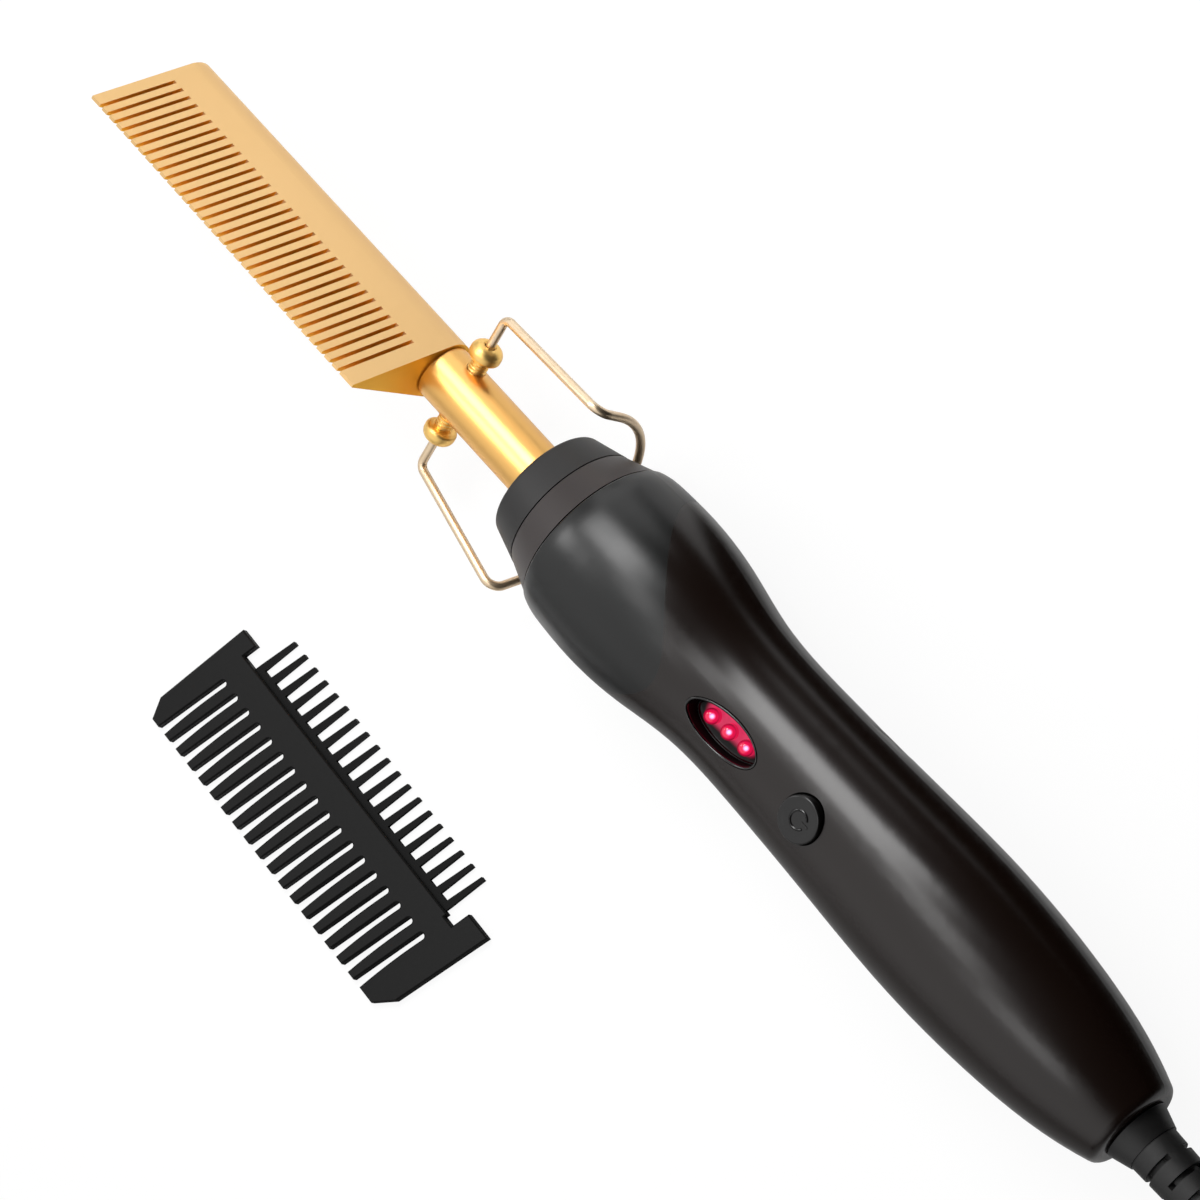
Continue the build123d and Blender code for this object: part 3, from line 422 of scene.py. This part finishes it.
# Moulded ABS: plain black, half matt.
dress(grained("black_moulded_abs_switch", "191919", (0.4, 0.55), 0.67, IOR=1.54), "tact_switch")

# ---- Lit window ----
# Three 3 mm red LEDs stand up through a smoked polycarbonate cup that is moulded in one piece and pressed
# into the handle's oval window. Their light on the cup's floor between them is a painted pink glow.
CONTROL_ROLL = radians(16.4)
WINDOW_X, WINDOW_Y, WINDOW_L, WINDOW_W = 93.6, -0.64, 18.7, 8.4
WINDOW_TURN = radians(4.5)
LED_PITCH, DOME_FOOT = 4.65, 12.2
LED_AIM = (0.3875, 0.1673, 0.9065)      # the direction towards which each dome's white-hot core is painted
CUP_FLOOR, CUP_WALL, LIP_FOOT = 11.3, 0.64, 13.6
HANDLE_SIDES = ((81.1, 15.65), (99.1, 15.0), (124.1, 15.9))      # place along the handle and its radius
CONTROL_ROW = Matrix.Rotation(CONTROL_ROLL, 4, "X")
WINDOW_PLACE = (CONTROL_ROW @ Matrix.Translation((WINDOW_X * mm, WINDOW_Y * mm, 0))
                @ Matrix.Rotation(WINDOW_TURN, 4, "Z"))


def handle_radius(x):
    """Handle's radius beside the controls, in millimetres."""
    low, high = HANDLE_SIDES[:2] if x < HANDLE_SIDES[1][0] else HANDLE_SIDES[1:]
    return low[1] + (high[1] - low[1]) * (x - low[0]) / (high[0] - low[0])


def window_axes(tree, point):
    """A point's place in the window's own axes: along the LEDs, across them and up, as node outputs."""
    rolled = add(tree, "ShaderNodeMapping", {"Vector": point, "Rotation": (-CONTROL_ROLL, 0, 0)})
    moved = add(tree, "ShaderNodeMapping", {
        "Vector": rolled.outputs[0], "Location": (-WINDOW_X * mm, -WINDOW_Y * mm, 0)})
    turned = add(tree, "ShaderNodeMapping", {"Vector": moved.outputs[0], "Rotation": (0, 0, -WINDOW_TURN)})
    parts = add(tree, "ShaderNodeSeparateXYZ", {"Vector": turned.outputs[0]})
    return parts.outputs["X"], parts.outputs["Y"], parts.outputs["Z"]


# Lit red epoxy glows crimson with its own light; its white-hot core is painted where the dome faces LED_AIM,
# with painted darkening to its rim; the sides are plain crimson.
CORE_START, CORE_END, RIM_START, RIM_END = 0.04, 0.50, 0.65, 1.15       # turned away from LED_AIM
CORE_GLOW, DOME_GLOW, RIM_GLOW, SIDE_GLOW = 1.6, 0.80, 0.20, 0.62
led_red, tree, out = new_material("lit_red_epoxy_led")
where = add(tree, "ShaderNodeTexCoord")
height = window_axes(tree, where.outputs["Object"])[2]
facing = add(tree, "ShaderNodeNewGeometry")
away = add(tree, "ShaderNodeVectorMath", {0: facing.outputs["Normal"], 1: LED_AIM}, operation="DISTANCE")
# Painted hot core and painted darkening to the rim, by how far a face turns from LED_AIM.
core = add(tree, "ShaderNodeMapRange", {
    "Value": away.outputs["Value"], "From Min": CORE_START, "From Max": CORE_END, "To Min": 1.0,
    "To Max": 0.0}, interpolation_type="SMOOTHSTEP")
rim = add(tree, "ShaderNodeMapRange", {
    "Value": away.outputs["Value"], "From Min": RIM_START, "From Max": RIM_END, "To Min": DOME_GLOW,
    "To Max": RIM_GLOW}, interpolation_type="SMOOTHSTEP")
side = add(tree, "ShaderNodeMath", {0: height, 1: DOME_FOOT * mm}, operation="LESS_THAN")
rim = add(tree, "ShaderNodeMix", {"Factor": side.outputs[0], "A": rim.outputs["Result"], "B": SIDE_GLOW},
          data_type="FLOAT")
tone = add(tree, "ShaderNodeMix", {
    "Factor": core.outputs["Result"], "A": paint("EE1450"), "B": paint("FFA8E4")}, data_type="RGBA")
glow = add(tree, "ShaderNodeMath", {0: core.outputs["Result"], 1: CORE_GLOW, 2: rim.outputs["Result"]},
           operation="MULTIPLY_ADD")
face = add(tree, "ShaderNodeBsdfPrincipled", {
    "Base Color": paint("8A0A28"), "Roughness": 0.08, "IOR": 1.54, "Emission Color": tone.outputs["Result"],
    "Emission Strength": glow.outputs[0]})
tree.links.new(face.outputs[0], out.inputs["Surface"])
dress(led_red, "led_1", "led_2", "led_3")

# Smoked polycarbonate: nearly black, with a painted pink glow round the row of LEDs for their light on the
# floor, made patchy.
POOL_ASIDE, POOL_FULL, POOL_END = 0.8, 1.2, 2.9      # millimetres across the row and out from it
POOL_GLOW = 0.75
POOL_PATCH = 1.4                              # size of the patches in the painted LED light
lens_smoked, tree, out = new_material("smoked_polycarbonate_lens")
where = add(tree, "ShaderNodeTexCoord")
along, across, height = window_axes(tree, where.outputs["Object"])
end = add(tree, "ShaderNodeMath", {0: along}, operation="ABSOLUTE")
end = add(tree, "ShaderNodeMath", {0: end.outputs[0], 1: LED_PITCH * mm}, operation="SUBTRACT")
end = add(tree, "ShaderNodeMath", {0: end.outputs[0], 1: 0.0}, operation="MAXIMUM")
aside = add(tree, "ShaderNodeMath", {0: across, 1: POOL_ASIDE * mm}, operation="SUBTRACT")
flat = add(tree, "ShaderNodeCombineXYZ", {"X": end.outputs[0], "Y": aside.outputs[0]})
near = add(tree, "ShaderNodeVectorMath", {0: flat.outputs[0]}, operation="LENGTH")
# Painted light: the LEDs' pink glow on the cup's floor, fading out from their row and made patchy.
painted_led_pool = add(tree, "ShaderNodeMapRange", {
    "Value": near.outputs["Value"], "From Min": POOL_FULL * mm, "From Max": POOL_END * mm,
    "To Min": POOL_GLOW, "To Max": 0.0}, interpolation_type="SMOOTHSTEP")
pool_patches = add(tree, "ShaderNodeTexNoise", {
    "Vector": where.outputs["Object"], "Scale": 1 / (POOL_PATCH * mm), "Detail": 2.0})
patchy = add(tree, "ShaderNodeMapRange", {"Value": pool_patches.outputs["Fac"], "To Min": 0.8, "To Max": 1.25})
low = add(tree, "ShaderNodeMath", {0: height, 1: (CUP_FLOOR + 0.3) * mm}, operation="LESS_THAN")
glow = add(tree, "ShaderNodeMath", {0: painted_led_pool.outputs["Result"], 1: patchy.outputs["Result"]},
           operation="MULTIPLY")
glow = add(tree, "ShaderNodeMath", {0: glow.outputs[0], 1: low.outputs[0]}, operation="MULTIPLY")
face = add(tree, "ShaderNodeBsdfPrincipled", {
    "Base Color": paint("060505"), "Roughness": 0.3, "IOR": 1.58, "Specular IOR Level": 0.15,
    "Emission Color": paint("F03A68"), "Emission Strength": glow.outputs[0]})
tree.links.new(face.outputs[0], out.inputs["Surface"])
# The cup's walls are a darker, duller black than its floor, as painted shade inside the window; its lip is
# polished and catches a thin line.
cup_wall_shade = grained("black_cup_wall_painted_shade", "030303", (0.45, 0.6), 1.1, IOR=1.5, Specular_IOR_Level=0.12)
lip_black = grained("polished_black_cup_lip", "070505", (0.10, 0.16), 1.1, IOR=1.58)

# The cup's section, from its foot over the lip and down inside to the floor: how far in from the oval,
# and how far above the handle's surface or, with none, at which height.
CUP_SECTION = (
    (0.0, None, CUP_FLOOR - 0.5), (0.0, -0.05, 0), (0.08, 0.05, 0), (0.18, 0.08, 0), (0.32, 0.03, 0),
    (0.46, -0.09, 0), (0.56, -0.28, 0), (0.60, -0.60, 0), (CUP_WALL, None, CUP_FLOOR + 0.45),
    (CUP_WALL + 0.06, None, CUP_FLOOR + 0.50), (CUP_WALL + 0.16, None, CUP_FLOOR + 0.50),
    (CUP_WALL + 0.26, None, CUP_FLOOR + 0.40), (CUP_WALL + 0.34, None, CUP_FLOOR + 0.1),
    (CUP_WALL + 0.5, None, CUP_FLOOR))
CUP_STEPS = 64
cup = bmesh.new()
foot = bmesh.ops.create_circle(cup, segments=CUP_STEPS, radius=1.0,
                               matrix=Matrix.Rotation(pi / CUP_STEPS, 4, "Z"))["verts"]
ring = list({line for point in foot for line in point.link_edges})
loops = [foot]
for _ in CUP_SECTION[1:]:
    grown = bmesh.ops.extrude_edge_only(cup, edges=ring)["geom"]
    loops.append([e for e in grown if isinstance(e, bmesh.types.BMVert)])
    ring = [e for e in grown if isinstance(e, bmesh.types.BMEdge) and all(v in loops[-1] for v in e.verts)]
for loop, (inset, proud, level) in zip(loops, CUP_SECTION):
    for point in loop:
        way = Vector((point.co.x, point.co.y)).normalized()
        x = way.x * (WINDOW_L / 2 - inset)
        y = way.y * (WINDOW_W / 2 - inset)
        if proud is not None:
            radius = handle_radius(WINDOW_X + x)
            beside = WINDOW_Y + y + x * sin(WINDOW_TURN)
            level = sqrt(radius * radius - beside * beside) + proud
        point.co = (x * mm, y * mm, level * mm)
cup.faces.new(sorted(loops[-1], key=lambda point: atan2(point.co.y, point.co.x)))
bmesh.ops.recalc_face_normals(cup, faces=cup.faces)
for side in cup.faces:
    middle = side.calc_center_median().z
    side.material_index = 0 if middle < (CUP_FLOOR + 0.6) * mm else 1 if middle < LIP_FOOT * mm else 2
cup.transform(WINDOW_PLACE)
window_cup = make_piece("window_cup", cup, lens_smoked, "comb", "lens_clear", "window_lens", sharp=50)
window_cup.data.materials.append(cup_wall_shade)
window_cup.data.materials.append(lip_black)

# ---- Power button ----
# A separate moulded ABS cap that slides in the upper shell and springs on the tact switch below it:
# slightly dished, with a raised ring-and-bar power sign.
BUTTON_X, BUTTON_FOOT, BUTTON_TOP, BUTTON_R = 116.8, 10.87, 16.83, 4.6
FLANGE_R, FLANGE_T, BUTTON_ROUND, BUTTON_DISH = 5.7, 1.0, 0.45, 0.28
DISH_SECTION = ((3.85, 0.01), (3.5, 0.07), (2.9, 0.18), (2.0, 0.25))     # radius, and depth below the edge
SIGN_R, SIGN_GAP = 1.85, radians(60)
RIB_SECTION = ((-0.32, -0.02), (-0.22, 0.14), (0, 0.24), (0.22, 0.14), (0.32, -0.02))
BAR_FROM_MIDDLE, BAR_L, BAR_W, BAR_H, BAR_ROUND = 1.55, 1.8, 0.5, 0.3, 0.12
# Moulded ABS, finely polished: black, with a soft sheen on the dish and the sign's edges.
button_abs = grained("satin_black_abs_button", "0C0B0B", (0.20, 0.28), 0.67, 3.0, (0.08, 0.03), IOR=1.5)
cap = bmesh.new()
lathe(cap, [(0, BUTTON_FOOT), (FLANGE_R, BUTTON_FOOT), (FLANGE_R, BUTTON_FOOT + FLANGE_T),
            (BUTTON_R, BUTTON_FOOT + FLANGE_T)]
      + arc(BUTTON_R - BUTTON_ROUND, BUTTON_TOP - BUTTON_ROUND, BUTTON_ROUND, 0, 90)
      + [(r, BUTTON_TOP - depth) for r, depth in DISH_SECTION] + [(0, BUTTON_TOP - BUTTON_DISH)])
sign_z = BUTTON_TOP - BUTTON_DISH
rib = [cap.verts.new(((SIGN_R + x) * mm, 0, (sign_z + z) * mm)) for x, z in RIB_SECTION]
section = cap.faces.new(rib)
bmesh.ops.rotate(cap, verts=rib, cent=(0, 0, 0), matrix=Matrix.Rotation(SIGN_GAP / 2, 3, "Z"))
bmesh.ops.spin(cap, geom=rib + list(section.edges) + [section], cent=(0, 0, 0), axis=(0, 0, 1),
               angle=2 * pi - SIGN_GAP, steps=40)
bar_place = Matrix.Translation((BAR_FROM_MIDDLE * mm, 0, (sign_z + 0.08) * mm))
bar = bmesh.ops.create_cube(cap, size=1.0, matrix=bar_place @ Matrix.Diagonal(
    (BAR_L * mm, BAR_W * mm, BAR_H * mm, 1)))["verts"]
bmesh.ops.bevel(cap, geom=list({line for point in bar for line in point.link_edges}), offset=BAR_ROUND * mm,
                offset_type="OFFSET", affect="EDGES", segments=2, profile=0.5, material=-1)
bmesh.ops.recalc_face_normals(cap, faces=cap.faces)
cap.transform(CONTROL_ROW @ Matrix.Translation((BUTTON_X * mm, 0, 0)))
make_piece("button_cap", cap, button_abs, "button", "button_black", "power_button")

# ---- Swivel gland and strain boot ----
# A nylon gland that turns in the handle's end, with a soft PVC boot of staggered slots moulded on it.
# Inside the handle a nylon anchor is clamped on the cord.
# Moulded nylon: black, half matt.
dress(grained("black_nylon_gland", "121111", (0.42, 0.54), 0.83, 3.0, IOR=1.53),
      "swivel_gland", "cable_anchor")
# Soft PVC: black and a little duller than the gland.
dress(grained("soft_pvc_boot", "0E0D0D", (0.45, 0.58), 1.1, 3.0, IOR=1.53), "strain_boot")

# ---- Mains cord ----
# One round 5.8 mm cord of extruded black PVC with a brown and a blue core. It leaves the boot, comes down
# to the table, lies in a tied coil of seven turns and a bit in two layers, and ends in the plug.
CORD_R = 2.9 * mm
COIL_CENTRE = Vector((320.0, -50.0)) * mm
COIL_R, RING_STEP = 40.7 * mm, 5.8 * mm
LAYER_TURNS, COIL_TURNS = 4, 7 + 110 / 360
COIL_START = 35                         # degrees
TURN_POINTS = 18
JUMP, RISE = 0.20, 0.16                 # parts of a turn used to change ring and to change layer
Z_LOW, Z_TOP = -15.46 * mm, -9.66 * mm


def eased(value, start, length):
    """Smooth step from 0 to 1 that begins at start."""
    part = min(1.0, max(0.0, (value - start) / length))
    return part * part * (3 - 2 * part)


route = [Vector(p) * mm for p in (
    (184.3, 0, 0), (256, 0, 0), (289, 4, -15.46), (318.77, 0.55, -15.46))]
for step in range(int(COIL_TURNS * TURN_POINTS) + 1):
    turned = step / TURN_POINTS
    radius = COIL_R
    for k in (1, 2, 3):
        inward = eased(turned, k - JUMP, JUMP)
        outward = eased(turned, LAYER_TURNS - JUMP + k - RISE - JUMP, JUMP)
        radius += RING_STEP * (outward - inward)
    angle = radians(COIL_START + 360 * turned)
    reach = radius / cos(pi / TURN_POINTS)
    height = Z_LOW + (Z_TOP - Z_LOW) * eased(turned, LAYER_TURNS - JUMP - RISE, RISE)
    route.append(Vector((COIL_CENTRE.x + reach * sin(angle), COIL_CENTRE.y + reach * cos(angle), height)))
route += [Vector(p) * mm for p in (
    (317.13, -101.70, -10.985), (290.13, -113.70, -12.31), (266.13, -113.70, -12.31))]
line = bpy.data.curves.new("mains_cord", "CURVE")
line.dimensions = "3D"
line.bevel_depth = CORD_R
line.bevel_resolution = 5
line.resolution_u = 6
line.use_fill_caps = True
run = line.splines.new("NURBS")
run.points.add(len(route) - 1)
for point, place in zip(run.points, route):
    point.co = (*place, 1)
run.order_u = 3
run.use_endpoint_u = True
mains_cord = bpy.data.objects.new("mains_cord", line)
scene.collection.objects.link(mains_cord)
# Extruded PVC: black and slightly shiny, with a faint drag in its skin.
line.materials.append(grained("black_pvc_cord", "171616", (0.40, 0.52), 2.4, 3.0, (0.15, 0.05), IOR=1.53))
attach(mains_cord, "comb")
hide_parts("cord_lead", "cord_coil", "cord_tail")
# The cores' own PVC: brown and blue, half matt.
dress(grained("brown_pvc_core", "5C3A22", (0.38, 0.5), 1.1, IOR=1.45), "mains_lead_a")
dress(grained("blue_pvc_core", "23508A", (0.38, 0.5), 1.1, IOR=1.45), "mains_lead_b")

# ---- Tie and plug ----
# A black hook-and-loop strap of woven nylon, wrapped round the coil, and a two-pin plug with nickel-plated
# brass pins that the PVC body is moulded on.
LOOP_SIZE = 0.62                        # the strap's loops, drawn coarser than real ones, to show at all
# Hook-and-loop nylon: black, deep and dull, with a pebbled face.
tie_nylon, tree, out = new_material("black_hook_and_loop_strap")
where = add(tree, "ShaderNodeTexCoord")
loops = add(tree, "ShaderNodeTexVoronoi", {"Vector": where.outputs["Object"], "Scale": 1 / (LOOP_SIZE * mm)})
skin = add(tree, "ShaderNodeBump", {
    "Height": loops.outputs["Distance"], "Strength": 0.6, "Distance": 0.2 * mm})
face = add(tree, "ShaderNodeBsdfPrincipled", {
    "Base Color": paint("161616"), "IOR": 1.5, "Roughness": 0.9, "Normal": skin.outputs[0]})
tree.links.new(face.outputs[0], out.inputs["Surface"])
dress(tie_nylon, "coil_tie")
# Moulded PVC: black, half matt, a little lighter than the boot.
dress(grained("moulded_pvc_plug", "181717", (0.42, 0.56), 0.83, 3.0, IOR=1.53), "plug_body")
# Nickel plate: a warm, bright grey with fine handling marks.
dress(grained("nickel_plated_brass_pin", "C9C4BA", (0.16, 0.28), 1.4, 3.0, Metallic=1.0),
      "plug_pin_a", "plug_pin_b")

# ---- Guard comb ----
# A loose comb that clips beside the hot teeth: a coarse row with its plate, and a fine row on a lower
# level, moulded in one piece of black heat-resisting nylon.
SKIN_GRAIN = 0.71                       # the mould's grain, drawn coarser than the real one
TOP_START, TOP_FULL = 0.80, 0.98        # how squarely a face looks up before it loses the painted wall shade
# Moulded nylon: black, dull and slightly grainy on top, with painted shade down the teeth's walls. The fine
# row is a darker copy of the same nylon, as painted shade on its lower level.
for name, low, high, wall_shade, level, node in (
        ("grainy_black_nylon", "0C0C0C", "121212", "020202", 0.22, "guard_plate"),
        ("black_nylon_fine_row_painted_shade", "040404", "070707", "010101", 0.16, "guard_fine")):
    guard_nylon, tree, out = new_material(name)
    where = add(tree, "ShaderNodeTexCoord")
    fine = add(tree, "ShaderNodeTexNoise", {
        "Vector": where.outputs["Object"], "Scale": 1 / (SKIN_GRAIN * mm), "Detail": 4.0})
    tone = add(tree, "ShaderNodeMix", {"Factor": fine.outputs["Fac"], "A": paint(low), "B": paint(high)},
               data_type="RGBA")
    facing = add(tree, "ShaderNodeNewGeometry")
    parts = add(tree, "ShaderNodeSeparateXYZ", {"Vector": facing.outputs["Normal"]})
    # Painted shade: faces that do not look up take the dark wall colour.
    flat = add(tree, "ShaderNodeMapRange", {
        "Value": parts.outputs["Z"], "From Min": TOP_START, "From Max": TOP_FULL})
    shade = add(tree, "ShaderNodeMix", {
        "Factor": flat.outputs["Result"], "A": paint(wall_shade), "B": tone.outputs["Result"]}, data_type="RGBA")
    skin = add(tree, "ShaderNodeBump", {
        "Height": fine.outputs["Fac"], "Strength": 0.3, "Distance": 0.05 * mm})
    face = add(tree, "ShaderNodeBsdfPrincipled", {
        "Base Color": shade.outputs["Result"], "IOR": 1.5, "Specular IOR Level": level, "Roughness": 0.55,
        "Normal": skin.outputs[0]})
    tree.links.new(face.outputs[0], out.inputs["Surface"])
    dress(guard_nylon, node)
